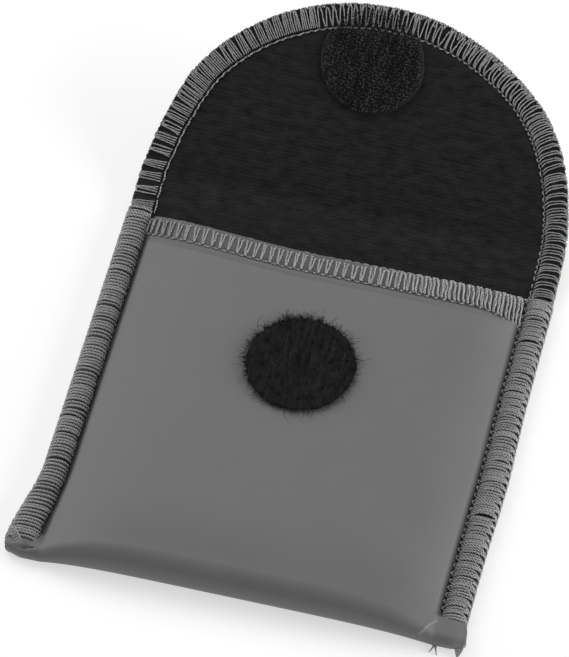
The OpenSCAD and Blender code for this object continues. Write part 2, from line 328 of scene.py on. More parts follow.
def upper_layout():
    """Flat points of the upper strip, their distance from its edge, and its faces."""
    half = flap_rings[1:] * cloth_edge
    rings = len(half)
    x = np.concatenate([-half[::-1], [0], half])
    flat = [(place, v) for v in neck_steps for place in x]
    inside = [cloth_edge - abs(place) for _ in neck_steps for place in x]
    faces = grid_faces(len(neck_steps), len(x))
    middle = len(flat) - rings - 1
    rays = len(flat) + np.arange((flap_rays - 1) * rings).reshape(-1, rings)
    to_side = np.arange(1, rings + 1)
    fan = np.concatenate([[middle + to_side], rays, [middle - to_side]]).tolist()
    for near, far in zip(fan, fan[1:]):
        faces.append([middle, near[0], far[0]])
        faces += zip(near, near[1:], far[1:], far)
    for ray in range(1, flap_rays):
        edge_x, edge_v = flap_outline(math.pi * ray / flap_rays, edge_cover)
        for ring in flap_rings[1:]:
            flat.append((ring * edge_x, neck_length + flap_start + ring * (edge_v - flap_start)))
            inside.append((1 - ring) * math.hypot(edge_x, edge_v - flap_start))
    return np.array(flat, float), np.array(inside), faces


def upper_strip(level):
    """Points of the upper neck and flap at one level of the strip, with their flat places and faces."""
    flat, inside, faces = upper_layout()
    pinch = smooth((cloth_edge - seam_inner + pinch_run - inside) / pinch_run)
    dip = needle_groove(inside + edge_cover, "flap")
    return lie(flat[:, 0], flat[:, 1], -depth(level, pinch) - dip), flat, faces


def piece(name, points, faces, finish, flat=None):
    """A mesh object of points in millimetres, with its finish and the flat places of the finish's pattern."""
    mesh = bpy.data.meshes.new(name)
    mesh.from_pydata((np.asarray(points) * mm).tolist(), [], faces)
    mesh.shade_smooth()
    mesh.materials.append(finish)
    if flat is not None:
        pattern = mesh.attributes.new("flat", "FLOAT_VECTOR", "POINT")
        pattern.data.foreach_set("vector", np.asarray(flat, np.float32).ravel())
    made = bpy.data.objects.new(name, mesh)
    bpy.context.scene.collection.objects.link(made)
    return made


def shifted(faces, count):
    """The same faces on points that come later by count."""
    return [[point + count for point in face] for face in faces]


def shell(name, face, back, faces, flat, finish):
    """A closed layer of cloth between two like surfaces, with its cut edges."""
    count = len(face)
    sides = {(a, b) for quad in faces for a, b in zip(quad, quad[1:] + quad[:1])}
    walls = [[b, a, a + count, b + count] for a, b in sorted(sides) if (b, a) not in sides]
    backs = shifted([quad[::-1] for quad in faces], count)
    points = np.concatenate([face, back])
    made = piece(name, points, faces + backs + walls, finish, np.concatenate([flat, flat]))
    made.data.set_sharp_from_angle(angle=math.radians(50))
    return made


shade_depth = 3.7
shade_run = 0.6


def lower_layer(name, inner, outer, finish):
    """A layer of the pocket and lower neck, between the strip's levels inner and outer.
    Its flat places hold a painted shade too, which is 1 under the mouth's stitches."""
    face = lower_strip(inner)
    rows, columns = face.shape[:2]
    run = np.linalg.norm(np.diff(face, axis=0), axis=-1)
    left = np.concatenate([np.cumsum(run[::-1], axis=0)[::-1], np.zeros((1, columns))])
    shade = np.zeros((rows, columns))
    shade[:len(mouth_steps)] = smooth((shade_depth - mouth_steps) / shade_run)[:, None]
    flat = np.stack([np.broadcast_to(across(), (rows, columns)), middle_neck - left, shade], axis=-1)
    back = lower_strip(outer).reshape(-1, 3)
    faces = grid_faces(rows, columns)
    return shell(name, face.reshape(-1, 3), back, faces, flat.reshape(-1, 3), finish)


def upper_layer(name, inner, outer, finish):
    """A layer of the upper neck and flap, between the strip's levels inner and outer."""
    face, flat, faces = upper_strip(inner)
    return shell(name, face, upper_strip(outer)[0], faces, np.column_stack([flat, 0 * flat[:, 0]]), finish)


def bend_at(made):
    """Bakes a piece's placing into its mesh."""
    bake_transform(made)


class Wire:
    """A shader socket that takes Python's operators. Each operator adds its Math node."""

    def __init__(self, tree, socket=None):
        self.tree = tree
        self.socket = socket

    def node(self, kind, settings, sockets, out=0):
        made = self.tree.nodes.new("ShaderNode" + kind)
        for name, value in settings.items():
            setattr(made, name, value)
        for name, value in sockets.items():
            if isinstance(value, Wire):
                self.tree.links.new(value.socket, made.inputs[name])
            else:
                made.inputs[name].default_value = value
        return Wire(self.tree, made.outputs[out] if made.outputs else None)

    def math(self, operation, first, second):
        return self.node("Math", {"operation": operation}, {0: first, 1: second})

    def __add__(self, other):
        return self.math("ADD", self, other)

    def __sub__(self, other):
        return self.math("SUBTRACT", self, other)

    def __rsub__(self, other):
        return self.math("SUBTRACT", other, self)

    def __mul__(self, other):
        return self.math("MULTIPLY", self, other)

    def __pow__(self, other):
        return self.math("POWER", self, other)

    __radd__ = __add__
    __rmul__ = __mul__

    def sine(self):
        return self.math("SINE", self, 0)

    def cosine(self):
        return self.math("COSINE", self, 0)

    def size(self):
        return self.math("ABSOLUTE", self, 0)

    def clamp(self, top=1.0):
        return self.node("Clamp", {}, {0: self, 1: 0.0, 2: top})

    def scaled(self, factors):
        return self.node("VectorMath", {"operation": "MULTIPLY"}, {0: self, 1: factors})

    def vector(self, name):
        return self.node("Attribute", {"attribute_name": name}, {}, out=1)

    def part(self, axis):
        return self.node("SeparateXYZ", {}, {0: self}, out=axis)

    def noise(self, scale, detail=2, roughness=0.5):
        sockets = {"Vector": self, "Scale": scale, "Detail": detail, "Roughness": roughness}
        return self.node("TexNoise", {}, sockets)

    def mix(self, share, first, second):
        return self.node("Mix", {"data_type": "RGBA"}, {0: share, 6: first, 7: second}, out=2)

    def bump(self, strength, distance):
        return self.node("Bump", {}, {"Strength": strength, "Distance": distance * mm, "Height": self})


def grey(value):
    return (value, value, value, 1)


def start_finish(name):
    """A new material with an empty shader: the wire that its nodes start from, and the material."""
    finish = bpy.data.materials.new(name)
    finish.use_nodes = True
    finish.node_tree.nodes.clear()
    return Wire(finish.node_tree), finish


def end_finish(start, colour, roughness, normal, **constants):
    """Closes a shader with what changes over its surface, and with constants by their sockets' names."""
    sockets = {"Base Color": colour, "Roughness": roughness, "Normal": normal}
    sockets.update({name.replace("_", " "): value for name, value in constants.items()})
    shader = start.node("BsdfPrincipled", {}, sockets)
    start.node("OutputMaterial", {}, {"Surface": shader})


def knit_finish():
    """Black knit: fine ribs across the strip, broken up into single loops, with a little lint."""
    start, finish = start_finish("black_knit")
    rib_pitch, loop_pitch = 0.55, 0.42
    flat = start.vector("flat")
    wander = flat.noise(0.5) * 1.6
    ribs = (flat.part(1) * (2 * math.pi / rib_pitch) + wander).sine()
    loops = (flat.part(0) * (2 * math.pi / loop_pitch) + wander).sine()
    lint = flat.noise(3.2, 4, 0.7)
    bands = flat.scaled((0.45, 1.0, 1.0)).noise(0.9, 4, 0.65)
    height = ribs * 0.25 + loops * 0.2 + lint * 1.0 + bands * 1.6
    colour = start.mix(ribs * 0.06 + lint * 0.5 + bands * 2.2 - 0.9, grey(0.003), grey(0.021))
    end_finish(start, colour, 0.82 + lint * 0.12, height.bump(0.6, 0.08), Specular_IOR_Level=0.25)
    return finish


def strip_layer(kind, level, finish):
    """One layer of the strip, as two pieces that meet at mid-neck."""
    lower = lower_layer(f"lower_{kind}", level, level + 1, finish)
    upper = upper_layer(f"upper_{kind}", level, level + 1, finish)
    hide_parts(f"pouch_{kind}", f"neck_{kind}")
    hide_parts(f"flap_{kind}")
    bend_at(lower)
    bend_at(upper)


strip_layer("lining", 0, knit_finish())

# Foam interlining
# A thin sheet of dark foam laminated between lining and skin, which gives the pouch its soft body.
# The overlock squeezes it flat at every edge, and it shows only at the cut edges between the threads.


def foam_finish():
    """Charcoal foam with small open cells."""
    start, finish = start_finish("charcoal_foam")
    cells = start.vector("flat").noise(6, 3, 0.6)
    colour = start.mix(cells, grey(0.018), grey(0.05))
    end_finish(start, colour, 0.9 - cells * 0.1, cells.bump(0.6, 0.08))
    return finish


strip_layer("foam", 1, foam_finish())

# Leatherette skin
# The outside of the strip: matt grey coated cloth with a very fine grain, folded once at the bottom.
# Its untrimmed corners stand out below the ends of the side seams.
skin_grey = 0.137
# Colour of the painted shade under the side seams' wraps.
seam_shade_grey = 0.016
crease_start = (28.3, -64.5)
crease_end = (26.3, -62.4)
crease_width = 0.17


def leatherette_finish():
    """Grey coated cloth with a fine pebbled grain and faint blotches, with painted shade where the side seams
    cover it and under the mouth's stitches, and worn pale along a crease near the right corner."""
    start, finish = start_finish("grey_leatherette")
    flat = start.vector("flat")
    pebbles = flat.node("TexVoronoi", {"feature": "SMOOTH_F1"}, {"Vector": flat, "Scale": 2.4})
    fine = flat.noise(5.5, 3, 0.6)
    blotches = flat.noise(0.11, 3, 0.55)
    tone = blotches * 0.7 + fine * 0.3
    coat = start.mix(tone, grey(0.9 * skin_grey), grey(1.1 * skin_grey))
    # Painted shade: under the side seams, away from the bottom fold, the skin is darkened so the gaps between
    # the wraps read as shadow.
    under_seam_shade = flat.part(0).size() - seam_inner + 0.7
    under_seam_shade = (under_seam_shade * 0.9 + fine * 0.2 - 0.1).clamp(0.92)
    off_fold = ((flat.part(1) + pocket_height + 0.1).size() * 2 - 8.2).clamp()
    colour = start.mix(under_seam_shade * off_fold, coat, grey(seam_shade_grey))
    # Painted shade: the skin is darkened under the mouth's stitches, where the flat places' third value is 1.
    colour = start.mix(flat.part(2) * 0.45, colour, grey(0.3 * skin_grey))
    step_x, step_v = crease_end[0] - crease_start[0], crease_end[1] - crease_start[1]
    from_x, from_v = flat.part(0) - crease_start[0], flat.part(1) - crease_start[1]
    share = ((from_x * step_x + from_v * step_v) * (1 / (step_x ** 2 + step_v ** 2))).clamp()
    away = (from_x - share * step_x) ** 2 + (from_v - share * step_v) ** 2
    worn = (0.8 - away * (1 / crease_width ** 2) + fine * 0.2).clamp()
    colour = start.mix(worn * 0.6, colour, grey(2.2 * skin_grey))
    roughness = 0.44 + fine * 0.12 + blotches * 0.06
    grain = (pebbles * 0.7 + fine * 0.5).bump(0.22, 0.05)
    end_finish(start, colour, roughness, grain, Specular_IOR_Level=0.5)
    return finish


strip_layer("skin", 2, leatherette_finish())

# Loop coin
# A round of black loop pile on a woven backing, stuck to the front panel with an adhesive film.
# The pile is brushed and its cut edge is frayed, so that loose fibres stand out all round.
coin_radius = corner("loop_coin_backing", 1)[0]
loop_coin_y = (corner("loop_coin_backing", 0)[1] + corner("loop_coin_backing", 1)[1]) / 2
pile_low = corner("loop_coin_pile", 0)[2]
pile_top = corner("loop_coin_pile", 1)[2]
chance = np.random.default_rng(11)


def disc(low, high, radius, fray, rough):
    """Points and faces of a round of cloth with a frayed edge and an uneven top, about its own middle."""
    rings, rays = 24, 120
    turns = np.linspace(0, 2 * math.pi, rays, endpoint=False)
    edge = radius * (1 + fray * chance.uniform(-1, 1, rays))
    points = []
    for level, sign in ((low, 0), (high, 1)):
        points.append([(0, 0, level)])
        for ring in np.linspace(0, 1, rings + 1)[1:]:
            drop = sign * 0.45 * (high - low) * smooth((ring - 0.9) / 0.1)
            lift = sign * rough * chance.uniform(-1, 1, rays) - drop
            spread = ring * edge
            points.append(np.stack([spread * np.cos(turns), spread * np.sin(turns), level + lift], -1))
    points = np.concatenate(points)
    index = 1 + np.arange(rings * rays).reshape(rings, rays)
    after = np.roll(index, -1, axis=1)
    sheet = np.stack([index[:-1], index[1:], after[1:], after[:-1]], -1).reshape(-1, 4).tolist()
    sheet += np.stack([0 * index[0], index[0], after[0]], -1).tolist()
    half = 1 + rings * rays
    faces = [face[::-1] for face in sheet] + shifted(sheet, half)
    faces += np.stack([index[-1], after[-1], half + after[-1], half + index[-1]], -1).tolist()
    return points, faces


def run_along(paths):
    """How far along its path each point lies."""
    return np.cumsum(np.linalg.norm(np.diff(paths, axis=1, prepend=paths[:, :1]), axis=-1), axis=1)


def strand_frame(paths, beside):
    """Unit vectors square to each path: towards the side given, and square to that."""
    ahead = np.gradient(paths, axis=1)
    ahead /= np.linalg.norm(ahead, axis=-1, keepdims=True)
    first = beside - ahead * np.sum(beside * ahead, axis=-1, keepdims=True)
    first /= np.linalg.norm(first, axis=-1, keepdims=True)
    return first, np.cross(ahead, first)


def tubes(paths, radius, beside, sides):
    """Round strands along paths of like counts of points. Each ring of points starts at the side given."""
    strands, count = paths.shape[:2]
    first, second = strand_frame(paths, beside)
    turns = 2 * math.pi * np.arange(sides) / sides
    ring = first[..., None, :] * np.cos(turns)[:, None] + second[..., None, :] * np.sin(turns)[:, None]
    radius = np.broadcast_to(radius, (strands, count))
    points = paths[..., None, :] + radius[..., None, None] * ring
    index = np.arange(strands * count * sides).reshape(strands, count, sides)
    after = np.roll(index, -1, axis=2)
    quads = np.stack([index[:, :-1], after[:, :-1], after[:, 1:], index[:, 1:]], axis=-1)
    faces = quads.reshape(-1, 4).tolist()
    faces += index[:, 0, ::-1].tolist() + index[:, -1].tolist()
    run = run_along(paths) + chance.uniform(0, 40, (strands, 1))
    ply = np.stack(np.broadcast_arrays(np.cos(turns), np.sin(turns), run[..., None]), axis=-1)
    return points.reshape(-1, 3), faces, ply.reshape(-1, 3)


def pile_finish(name, dark, light):
    """Black nylon: matt, with single filaments that catch a little light, and clumps that run in rows."""
    start, finish = start_finish(name)
    flat = start.vector("flat")
    strands = flat.noise(4.5, 3, 0.65)
    clumps = flat.scaled((1.5, 0.4, 1.0)).noise(1.1, 2)
    colour = start.mix(strands * 0.5 + clumps * 2.4 - 1.1, grey(dark), grey(light))
    end_finish(start, colour, 0.85 - strands * 0.2, strands.bump(0.8, 0.15), Specular_IOR_Level=0.2)
    return finish


def adhesive_finish():
    """Clear acrylic film over dark cloth, yellowish at its cut edge."""
    start, finish = start_finish("adhesive_film")
    haze = start.vector("flat").noise(1.5, 2)
    colour = start.mix(haze, (0.20, 0.19, 0.17, 1), (0.28, 0.27, 0.25, 1))
    end_finish(start, colour, 0.25 + haze * 0.15, haze.bump(0.1, 0.02))
    return finish


adhesive_film = adhesive_finish()
coin_pile = pile_finish("black_loop_pile", dark=0.001, light=0.01)
coin_filaments = pile_finish("black_loop_filaments", dark=0.001, light=0.044)
coin_middle = np.array([0, loop_coin_y, 0])


def coin_piece(name, low, high, finish, fray, inset=0, rough=0):
    """One round layer of the loop coin, between two heights."""
    points, faces = disc(low, high, coin_radius - inset, fray, rough)
    return piece(name, points + coin_middle, faces, finish, points)


film_low = corner("loop_coin_adhesive", 0)[2]
weave_low = corner("loop_coin_backing", 0)[2]
loop_adhesive = coin_piece("loop_coin_film", film_low, weave_low, adhesive_film, fray=0.004, inset=0.4)
loop_backing = coin_piece("loop_coin_weave", weave_low, pile_low, coin_pile, fray=0.008, inset=0.15)
loop_pile = coin_piece("loop_coin_nap", pile_low, pile_top - 0.12, coin_pile, fray=0.022, rough=0.09)


def nap_fibres():
    """Small bent loops all over the pile, and loose fibres that stand out round its edge in tufts."""
    top_count, edge_count, steps = 1100, 1200, 6
    count = top_count + edge_count
    reach = np.sqrt(chance.uniform(0, 1, top_count)) * 0.98
    reach = np.concatenate([reach, chance.uniform(0.93, 1.0, edge_count)])
    turn = chance.uniform(0, 2 * math.pi, count)
    turn[-edge_count // 3:] = chance.normal(2.3, 0.8, len(turn[-edge_count // 3:]))
    edge = np.arange(count) >= top_count
    tufts = 0.016 * np.sin(61 * turn) + 0.01 * np.sin(97 * turn + 1)
    turn = turn + edge * tufts
    root = np.stack([reach * np.cos(turn), reach * np.sin(turn)], -1) * coin_radius
    fan = 0.5 * np.sin(29 * turn) + chance.normal(0, 0.35, count)
    heading = np.where(edge, turn + fan, chance.normal(math.pi / 2 + 0.3, 0.4, count))
    length = np.where(edge, chance.gamma(1.3, 0.36, count) + 0.12, chance.uniform(0.5, 1.1, count))
    height = np.where(edge, chance.uniform(-0.25, 0.15, count), chance.uniform(0.08, 0.28, count))
    curl = chance.normal(0, 0.9, count)
    share = np.linspace(0, 1, steps)
    bend = heading[:, None] + curl[:, None] * share
    step = length[:, None] / (steps - 1)
    across_x = root[:, :1] + np.cumsum(np.cos(bend) * step, axis=1)
    across_y = root[:, 1:] + np.cumsum(np.sin(bend) * step, axis=1)
    base = np.where(edge, pile_low + 0.3, pile_top - 0.2)
    arch = np.where(edge[:, None], share, np.sin(math.pi * share))
    up = base[:, None] + height[:, None] * arch
    paths = np.stack([across_x, across_y, up], -1)
    width = np.where(edge, 0.034, 0.045)[:, None] * (1 - 0.5 * share)
    return tubes(paths, width, np.array([0.1, 0.2, 1.0]), sides=4)


points, faces = nap_fibres()[:2]
loop_fibres = piece("loop_coin_fibres", points + coin_middle, faces, coin_filaments, points)
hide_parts("loop_coin_adhesive")
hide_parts("loop_coin_backing")
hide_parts("loop_coin_pile")
for part in (loop_adhesive, loop_backing, loop_pile, loop_fibres):
    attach(part, "pouch")

# Hook coin
# The other half of the fastener: black moulded hooks on a woven backing, stuck to the flap's lining.
# Its far side lies under the rim's stitching, which presses it down and holds it.
hook_coin_x = -1.5
hook_coin_v = neck_length + 22.5
film_top = 0.15
ground_top = 0.35
hook_height = 0.35
hook_radius = 0.09
hook_reach = 0.3
rim_press = 0.36
trim_inset = 0.3
hook_pitch = (0.44, 0.46)


def rim_inside(x, v):
    """How far a point of the flap lies inside the rim's outer edge."""
    turn = np.linspace(0, math.pi, 361)
    edge_x, edge_v = flap_outline(turn, 0)
    near = np.hypot(edge_x[:, None] - x, edge_v[:, None] + neck_length - v)
    return near.min(axis=0)


def on_flap(points):
    """Puts points of the hook coin on the flap: the seam presses down what lies under it."""
    x, v = points[:, 0] + hook_coin_x, points[:, 1] + hook_coin_v
    inside = rim_inside(x, v)
    press = rim_press * smooth((seam_width + 0.5 - inside) / 0.8)
    return lie(x, v, points[:, 2] - press)


def trimmed(points):
    """Draws in what would stand past the flap's cloth to a line just inside its edge."""
    x, v = points[:, 0] + hook_coin_x, points[:, 1] + hook_coin_v - neck_length
    turn = np.arctan2(np.maximum(v - flap_start, 0.01), x)
    limit_x, limit_v = flap_outline(turn, edge_cover + trim_inset)
    share = np.minimum(1, np.hypot(limit_x, limit_v - flap_start) / np.hypot(x, v - flap_start))
    moved = points.copy()
    moved[:, 0] = x * share - hook_coin_x
    moved[:, 1] = flap_start + (v - flap_start) * share + neck_length - hook_coin_v
    return moved


def hook_coin_piece(name, low, high, finish, inset=0):
    """One round layer of the hook coin, between two heights over the lining."""
    points, faces = disc(low, high, coin_radius - inset, fray=0.004, rough=0)
    points = trimmed(points)
    return piece(name, on_flap(points), faces, finish, points)


def hooks():
    """Rows of small bent hooks, each a stem that curls over at its tip, with the odd one leaning."""
    columns = np.arange(-coin_radius, coin_radius, hook_pitch[0])
    lines = np.arange(-coin_radius, coin_radius, hook_pitch[1])
    x, v = [place.ravel() for place in np.meshgrid(columns, lines)]
    odd = np.round((v - lines[0]) / hook_pitch[1]) % 2
    x = x + hook_pitch[0] / 2 * odd + chance.normal(0, 0.06, len(x))
    v = v + chance.normal(0, 0.06, len(v))
    inside = rim_inside(x + hook_coin_x, v + hook_coin_v)
    beyond = v + hook_coin_v - neck_length > flap_reach - edge_cover - 0.6
    keep = (np.hypot(x, v) < coin_radius - 0.25) & (inside > edge_cover + 0.5) & ~beyond
    x, v = x[keep], v[keep]
    curl = np.linspace(0, 1, 6)
    heading = chance.uniform(0, 2 * math.pi, len(x))
    out = hook_reach * smooth((curl - 0.3) / 0.7)
    droop = 1 - 0.35 * smooth((curl - 0.75) / 0.25)
    up = ground_top - 0.04 + hook_height * np.sin(math.pi * np.minimum(curl, 0.82) / 1.64) * droop
    paths = np.stack(np.broadcast_arrays(x[:, None] + np.cos(heading)[:, None] * out,
                                         v[:, None] + np.sin(heading)[:, None] * out, up), axis=-1)
    beside = np.stack([-np.sin(heading), np.cos(heading), 0 * heading], axis=-1)[:, None]
    return tubes(paths, hook_radius * (1 - 0.25 * curl), beside, sides=5)


hook_nylon = pile_finish("black_hook_nylon", dark=0.01, light=0.08)
hook_ground = pile_finish("black_hook_ground", dark=0.009, light=0.022)
hook_adhesive = hook_coin_piece("hook_coin_film", 0, film_top, adhesive_film, inset=0.25)
hook_backing = hook_coin_piece("hook_coin_weave", film_top, ground_top, hook_ground)
points, faces = hooks()[:2]
hook_field = piece("hook_coin_field", on_flap(points), faces, hook_nylon, points)
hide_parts("hook_coin_adhesive")
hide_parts("hook_coin_backing")
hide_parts("hook_coin_hooks")
for part in (hook_adhesive, hook_backing, hook_field):
    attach(part, "flap")

# Mouth seam
# Three-thread overlock along the front panel's upper edge: the upper looper zigzags over the skin from the
# needle line to the edge, the lower looper does the same inside, and the needle thread ties both down.
stitch_pitch = 1.27
pass_points = 49
ply_pitch = 0.95
thread_grey = 0.39
squeezed = cloth_thickness - foam_loss
edge_power = 3.5
needle_turn = math.radians(28)
mouth_thread = 0.13
mouth_flare = 0.48
flare_run = 7.0


def thread_finish():
    """Spun grey thread: two plies twisted together, with lint, and painted shade in the grooves between them.
    """
    start, finish = start_finish("grey_thread")
    fibre_pitch = 0.45
    ply = start.vector("flat")
    turn = ply.part(2) * (2 * math.pi / fibre_pitch)
    twist = ply.part(1) * turn.cosine() + ply.part(0) * turn.sine()
    lint = start.node("TexCoord", {}, {}, out=3).noise(2600, 3, 0.6)
    tone = twist * 0.2 + lint * 0.6 + 0.2
    colour = start.mix(tone, grey(0.45 * thread_grey), grey(1.5 * thread_grey))
    # Painted shade: darkens the side of each ply that faces the other ply, and a narrow band along two sides
    # of each single strand.
    groove = (0.25 - ply.part(0) * 1.2).clamp()
    colour = start.mix(groove * 0.7, colour, grey(0.1 * thread_grey))
    height = twist * 0.5 + lint * 0.5
    end_finish(start, colour, 0.62 + lint * 0.2, height.bump(0.6, 0.06), Specular_IOR_Level=0.3)
    return finish


def over_edge(share, half, lift, power, first_turn):
    """Where a looper thread lies on its seam: in from the seam's outer edge, and up from the cloth's middle.
    share is 0 at the needle line, 1 at the middle of the cut edge, and more on the cloth's other face."""
    middle = 2.0
    near = np.where(share > 1, 2 - share, share)
    turn = first_turn + (math.pi - first_turn) * near
    inset = middle + (middle - edge_cover + lift) * signed_power(np.cos(turn), 2 / power)
    up = (half + lift) * np.maximum(np.sin(turn), 0) ** (2 / power)
    return inset, np.where(share > 1, -up, up)


def looper_lines(starts, reach, waver, narrow=1, full=(1.9, 3.0), lean=0, bow=0):
    """Looper thread of each stitch, as places along the seam and shares of the way over its edge.
    It runs from its needle point out to a round turn at reach and back to the next needle point."""
    share = np.linspace(0, 1, pass_points)
    count = len(starts) - 1
    reach, lean, narrow, bow = [np.reshape(value, (-1, 1)) for value in (reach, lean, narrow, bow)]
    reach = reach + chance.normal(0, waver / 3, (count, 1))
    lean = lean + chance.normal(0, waver, (count, 1))
    out = 1 - np.abs(2 * share - 1) ** chance.uniform(*full, (count, 1))
    along = 0.5 + narrow * (share - 0.5)
    sideways = lean * out + bow * np.sin(math.pi * out)
    place = starts[:-1, None] + np.diff(starts)[:, None] * along + sideways
    root = chance.normal(0.03, 0.025, count + 1)
    over = root[:-1, None] * (1 - share) + root[1:, None] * share
    return place, over + (reach - over) * out


def needle_line(starts, depth_in, lift, rise):
    """One strand along the needle line, which dips at each needle point and swells between them.
    Gives its places along and over the seam, its lift and its fullness at each point."""
    steps = np.linspace(0, 1, 9)[:-1]
    count = len(starts) - 1
    place = starts[:-1, None] + np.diff(starts)[:, None] * steps
    over = depth_in + 0 * steps + chance.normal(0, 0.008, (count, 1))
    lifts = lift - rise * np.cos(2 * math.pi * steps) + chance.normal(0, 0.02, (count, 1))
    swell = 0.25 + 0.75 * np.sin(math.pi * steps) ** 4 + 0 * place
    return [line.reshape(1, -1) for line in (place, over, lifts, swell)]


def seam_strands(surface, lines, lift, radius, facing, twist_pitch=None):
    """Strands on a seam's surface, which turns places along and over the seam into points.
    With a twist pitch each strand is two plies wound round each other, and their flat places start from the
    side that looks away from the other ply."""
    place, over = lines
    paths = surface(place, over, lift, facing)
    nudge = 0.02
    beside = surface(place + nudge, over, lift, facing) - surface(place - nudge, over, lift, facing)
    beside = beside + 0.3 * (surface(place, over, lift + nudge, facing) - paths)
    if not twist_pitch:
        points, faces, ply = tubes(paths, radius, beside, 7)
        return points, faces, np.abs(ply)
    first, second = strand_frame(paths, beside)
    turn = (2 * math.pi * run_along(paths) / twist_pitch + chance.uniform(0, 6, (len(paths), 1)))[..., None]
    wind = 0.9 * np.asarray(radius)[..., None] * (np.cos(turn) * first + np.sin(turn) * second)
    paths = np.concatenate([paths + wind, paths - wind])
    radius = np.concatenate([np.broadcast_to(radius, place.shape)] * 2)
    points, faces, ply = tubes(paths, radius, np.concatenate([beside, beside]), 5)
    turn = np.concatenate([turn, turn + math.pi])
    ply = ply.reshape(*paths.shape[:2], 5, 3)
    out = ply[..., 0] * np.cos(turn) + ply[..., 1] * np.sin(turn)
    side = ply[..., 1] * np.cos(turn) - ply[..., 0] * np.sin(turn)
    return points, faces, np.stack([out, side, ply[..., 2]], -1).reshape(-1, 3)


grey_thread = thread_finish()
mouth_x = np.linspace(-seam_inner, seam_inner, 401)
mouth_z = cloth_thickness + gap_at(mouth_x)
mouth_run = np.concatenate([[0], np.cumsum(np.hypot(np.diff(mouth_x), np.diff(mouth_z)))])
mouth_slope = np.gradient(mouth_z, mouth_x)


def mouth_surface(place, over, lift, facing):
    """Points of the mouth seam, wider at its right end: facing is 1 on the skin and -1 inside the pocket."""
    x = np.interp(place, mouth_run, mouth_x)
    tilt = np.arctan(np.interp(place, mouth_run, mouth_slope))
    inset, up = over_edge(over, squeezed / 2, lift, edge_power, needle_turn)
    inset = inset * (1 + mouth_flare * smooth((place - mouth_run[-1]) / flare_run + 1))
    up = facing * up
    z = cloth_thickness + gap_at(x) + squeezed / 2 + up * np.cos(tilt)
    return np.stack([x - up * np.sin(tilt), bottom_y + mouth_line(x) - inset, z], axis=-1)


def stitch_starts(first, last, pitch, waver):
    """Needle points from first to last, with the pitch that the stitch has at each place."""
    starts = [first]
    while starts[-1] < last:
        starts.append(starts[-1] + pitch(starts[-1]) * chance.normal(1, waver))
    if len(starts) > 2 and starts[-1] - last > last - starts[-2]:
        starts.pop()
    return first + (np.array(starts) - first) * (last - first) / (starts[-1] - first)


def thread_piece(name, strands, node):
    """Strands of thread as one piece, which stands for a CAD node."""
    points, faces, ply = strands
    made = piece(name, points, faces, grey_thread, ply)
    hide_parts(node)
    return made


def seam_pieces(name, strands, nodes):
    """Upper looper, lower looper and needle row of one stretch of seam."""
    kinds = [("upper_loops", "upper_looper"), ("lower_loops", "lower_looper"),
             ("needle_row", "needle_thread")]
    return [thread_piece(f"{name}_{kind}", strand, f"{nodes}_{node}")
            for strand, (kind, node) in zip(strands, kinds)]


def even_pitch(place):
    return stitch_pitch


mouth_starts = stitch_starts(0, mouth_run[-1], even_pitch, 0.07)
right_start, right_run = 26, 22
mouth_right = smooth((mouth_starts[:-1] - right_start) / right_run)
mouth_full = (1.9 + 1.4 * mouth_right[:, None], 2.8 + 1.6 * mouth_right[:, None])
upper = looper_lines(mouth_starts, reach=0.74 + 0.14 * mouth_right, waver=0.12,
                     narrow=1 - 0.42 * mouth_right, full=mouth_full, lean=-0.75 * mouth_right ** 2)
turned = smooth((upper[1] / np.max(upper[1], axis=1, keepdims=True) - 0.72) / 0.2)
sunk = 0.12 - 0.4 * turned * (1 - mouth_right)[:, None]
mouth_width = (0.093 + 0.053 * mouth_right)[:, None]
mouth_strands = [seam_strands(mouth_surface, upper, sunk, mouth_width, facing=1, twist_pitch=ply_pitch)]
lower = looper_lines(mouth_starts + stitch_pitch / 2, reach=1.0 + 0.1 * mouth_right, waver=0.06, full=(4, 8))
mouth_strands.append(seam_strands(mouth_surface, lower, lift=0.13, radius=mouth_thread, facing=-1))
place, over, lifts, swell = needle_line(mouth_starts, depth_in=-0.02, lift=0.12, rise=0.1)
mouth_strands.append(seam_strands(mouth_surface, (place, over), lifts, mouth_thread * swell, facing=1))
for part in seam_pieces("mouth", mouth_strands, "mouth"):
    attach(part, "pouch")

# Side and rim seams
# One overlock seam up the left side, round the flap and down the right side, sewn through both layers of the
# folded pocket. It covers the sides closely and opens out round the flap, where the lining shows between.
double_run = 3.4
puff = 0.3
rim_turns = np.linspace(math.pi, 0, 721)
rim_x, rim_v = flap_outline(rim_turns, 0)
inner_x, inner_v = flap_outline(rim_turns, 1)
outline_x = np.concatenate([[-half_width], rim_x, [half_width]])
outline_v = np.concatenate([[left_seam_start], rim_v + neck_length + pocket_height, [seam_start]])
outline_v = outline_v - pocket_height
outline_run = np.concatenate([[0], np.cumsum(np.hypot(np.diff(outline_x), np.diff(outline_v)))])
outline = [outline_x, outline_v, np.concatenate([[1], inner_x - rim_x, [-1]]),
           np.concatenate([[0], inner_v - rim_v, [0]])]
far_end = outline_run[-1]
left_neck = middle_neck - outline_v[0]
right_neck = far_end - middle_neck + outline_v[-1]
left_wraps = 1.5 - outline_v[0]
right_wraps = far_end + 0.4 + outline_v[-1]


def edge_surface(place, over, lift, facing):
    """Points of the side and rim seam, which is thicker and rounder where it holds the pocket's two layers:
    facing is 1 on its upper face and -1 beneath."""
    x, v, in_x, in_v = [np.interp(place, outline_run, line) for line in outline]
    double = smooth((side_top + mouth_rise(x) - pocket_height + 2.4 - v) / double_run)
    second = double * (squeezed + seam_slit) / 2
    half = squeezed / 2 + second + puff * double * (facing > 0)
    inset, up = over_edge(over, half, lift, edge_power - 1.1 * double, needle_turn - 0.25 * double)
    return lie(x + in_x * inset, v + in_v * inset, second - squeezed / 2 + facing * up)


rim_places = [0, 13, 16, 40, 45, 66, 72, 92]


def rim_pitch(place):
    """Long stitches on the flap's left side near the neck, then shorter ones round to the right."""
    return np.interp(place - left_wraps, rim_places, [2.2, 2.15, 1.5, 1.45, 1.2, 1.2, 1.1, 1.0])


